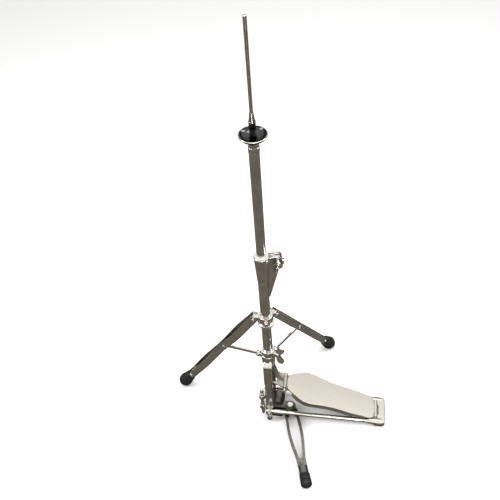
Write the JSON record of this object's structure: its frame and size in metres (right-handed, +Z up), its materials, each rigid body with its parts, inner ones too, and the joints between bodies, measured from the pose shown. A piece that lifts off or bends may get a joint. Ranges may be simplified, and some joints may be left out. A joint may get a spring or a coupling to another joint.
{
  "type": "hi-hat stand",
  "caption": "Folding hi-hat stand without cymbals: telescoping pole with clamp and seat, sprung pull rod, footboard pedal, braced side legs and a low front leg.",
  "frame": {"origin": "on the pole axis at floor level, at the underside of the rubber pad below the base casting", "axes": "+Z up along the pole; +X from the pole towards the heel of the pedal; +Y to the left of a player sitting behind the heel"},
  "size_m": [0.5361, 0.4291, 1.054],
  "materials": {
    "tube_chrome": "mirror-bright drawn tube",
    "rod_chrome": "mirror-bright ground bar",
    "leg_chrome": "bright pressed strip",
    "cast_chrome": "plated die casting with a soft orange-peel ripple",
    "hardware_chrome": "bright turned and stamped hardware",
    "black_chrome": "dark plated pressing",
    "dark_chrome": "smoky plating on the castings and strips near the floor",
    "cast_aluminium": "satin, fine tumbled grain, warm grey",
    "spring_steel": "zinc-plated wire",
    "white_nylon": "moulded nylon",
    "black_rubber": "moulded rubber"
  },
  "bodies": {
    "stand": {"base_casting": "dark_chrome", "base_pad": "black_rubber", "base_yoke": "cast_chrome", "clamp_bolt": "hardware_chrome", "clamp_bushing": "white_nylon", "collar_screw": "hardware_chrome", "front_leg_bolt": "hardware_chrome", "heel_pad": "black_rubber", "heel_pin": "rod_chrome", "heel_plate": "cast_aluminium", "height_clamp": "cast_chrome", "leg_collar": "cast_chrome", "leg_hinge_pins": "hardware_chrome", "lower_tube": "tube_chrome", "radius_rod_far": "rod_chrome", "radius_rod_near": "rod_chrome", "return_spring": "spring_steel", "rod_ferrules": "hardware_chrome", "spring_seat": "spring_steel", "yoke_screws": "hardware_chrome"},
    "upper_tube": {"upper_tube": "tube_chrome", "tube_cap": "cast_chrome", "seat_sleeve": "black_chrome", "seat_washer": "black_rubber"},
    "cymbal_seat": {"cymbal_seat": "black_chrome"},
    "tilt_screw": {"tilt_screw": "hardware_chrome"},
    "pull_rod": {"pull_rod_upper": "rod_chrome", "pull_rod_lower": "rod_chrome", "rod_lock_nut": "hardware_chrome", "spring_collar": "spring_steel", "rod_fork": "cast_chrome", "link_pin": "hardware_chrome"},
    "toe_link": {"toe_link": "cast_aluminium"},
    "footboard": {"footboard": "cast_aluminium", "toe_axle": "rod_chrome"},
    "clamp_wing_nut": {"clamp_wing_nut": "hardware_chrome"},
    "brace_collar": {"brace_collar": "cast_chrome", "brace_pins": "hardware_chrome"},
    "collar_wing_bolt": {"collar_wing_bolt": "hardware_chrome"},
    "left_leg": {"left_leg_strip_front": "leg_chrome", "left_leg_strip_rear": "leg_chrome", "left_leg_rivets": "hardware_chrome", "left_foot_socket": "hardware_chrome", "left_foot": "black_rubber"},
    "right_leg": {"right_leg_strip_front": "leg_chrome", "right_leg_strip_rear": "leg_chrome", "right_leg_rivets": "hardware_chrome", "right_foot_socket": "hardware_chrome", "right_foot": "black_rubber"},
    "left_brace": {"left_brace": "leg_chrome"},
    "right_brace": {"right_brace": "leg_chrome"},
    "front_leg": {"front_leg_strip_left": "dark_chrome", "front_leg_strip_right": "dark_chrome", "front_leg_hub": "dark_chrome", "front_leg_rivets": "hardware_chrome", "front_foot_socket": "dark_chrome", "front_foot": "black_rubber"},
    "spur_near": {"spur_near": "hardware_chrome"},
    "spur_far": {"spur_far": "hardware_chrome"},
    "anchor_spike": {"anchor_spike": "hardware_chrome"}
  },
  "joints": [
    {"name": "height_slide", "type": "slide", "parent": "stand", "child": "upper_tube", "axis": [0, 0, 1], "range_m": [-0.07, 0.08]},
    {"name": "seat_tilt", "type": "hinge", "parent": "upper_tube", "child": "cymbal_seat", "pos_m": [0, 0, 0.835], "axis": [0.9848, 0.1736, 0], "range_deg": [0, 6]},
    {"name": "tilt_screw_turn", "type": "hinge", "parent": "upper_tube", "child": "tilt_screw", "pos_m": [-0.00261, 0.01477, 0.822], "axis": [0, 0, 1], "continuous": true},
    {"name": "pedal_press", "type": "hinge", "parent": "stand", "child": "footboard", "pos_m": [0.262, 0, 0.018], "axis": [0, -1, 0], "range_deg": [0, 7.5], "stiffness_Nm_per_rad": 65, "springref_deg": -5.73},
    {"name": "rod_pull", "type": "slide", "parent": "stand", "child": "pull_rod", "axis": [0, 0, -1], "range_m": [0, 0.02717], "deforming": ["return_spring"]},
    {"name": "link_swing", "type": "hinge", "parent": "pull_rod", "child": "toe_link", "pos_m": [0.0088, 0, 0.192], "axis": [0, 1, 0], "range_deg": [0, 7.27]},
    {"name": "left_leg_fold", "type": "hinge", "parent": "stand", "child": "left_leg", "pos_m": [-0.02659, 0.00469, 0.355], "axis": [-0.1736, -0.9848, 0], "range_deg": [0, 23.8]},
    {"name": "right_leg_fold", "type": "hinge", "parent": "stand", "child": "right_leg", "pos_m": [0.01549, 0.02212, 0.355], "axis": [-0.8192, 0.5736, 0], "range_deg": [0, 23.8]},
    {"name": "collar_slide", "type": "slide", "parent": "stand", "child": "brace_collar", "axis": [0, 0, 1], "range_m": [0, 0.06112]},
    {"name": "left_brace_swing", "type": "hinge", "parent": "brace_collar", "child": "left_brace", "pos_m": [-0.02363, 0.00417, 0.21902], "axis": [-0.1736, -0.9848, 0], "range_deg": [0, 73.18]},
    {"name": "right_brace_swing", "type": "hinge", "parent": "brace_collar", "child": "right_brace", "pos_m": [0.01377, 0.01966, 0.21902], "axis": [-0.8192, 0.5736, 0], "range_deg": [0, 73.18]},
    {"name": "front_leg_swivel", "type": "hinge", "parent": "stand", "child": "front_leg", "pos_m": [0.05, -0.016, 0.01], "axis": [0, 0, 1], "range_deg": [-20, 20]},
    {"name": "clamp_nut_turn", "type": "hinge", "parent": "stand", "child": "clamp_wing_nut", "pos_m": [0.03353, -0.00344, 0.546], "axis": [0.2588, -0.9659, 0], "continuous": true},
    {"name": "collar_bolt_turn", "type": "hinge", "parent": "brace_collar", "child": "collar_wing_bolt", "pos_m": [0.02349, -0.00855, 0.23702], "axis": [0.9397, -0.342, 0], "continuous": true},
    {"name": "spur_near_screw", "type": "slide", "parent": "stand", "child": "spur_near", "axis": [0, 0, 1], "range_m": [-0.0035, 0.01]},
    {"name": "spur_far_screw", "type": "slide", "parent": "stand", "child": "spur_far", "axis": [0, 0, 1], "range_m": [-0.0035, 0.01]},
    {"name": "anchor_spike_screw", "type": "slide", "parent": "stand", "child": "anchor_spike", "axis": [0, 0, 1], "range_m": [-0.008, 0.02]}
  ],
  "couplings": [
    {"joint": "rod_pull", "follows": "pedal_press", "m_per_rad": 0.20757},
    {"joint": "link_swing", "follows": "pedal_press", "ratio": 0.96882},
    {"joint": "right_leg_fold", "follows": "left_leg_fold", "ratio": 1},
    {"joint": "collar_slide", "follows": "left_leg_fold", "m_per_rad": 0.14713},
    {"joint": "left_brace_swing", "follows": "left_leg_fold", "ratio": 3.0747},
    {"joint": "right_brace_swing", "follows": "left_leg_fold", "ratio": 3.0747}
  ]
}
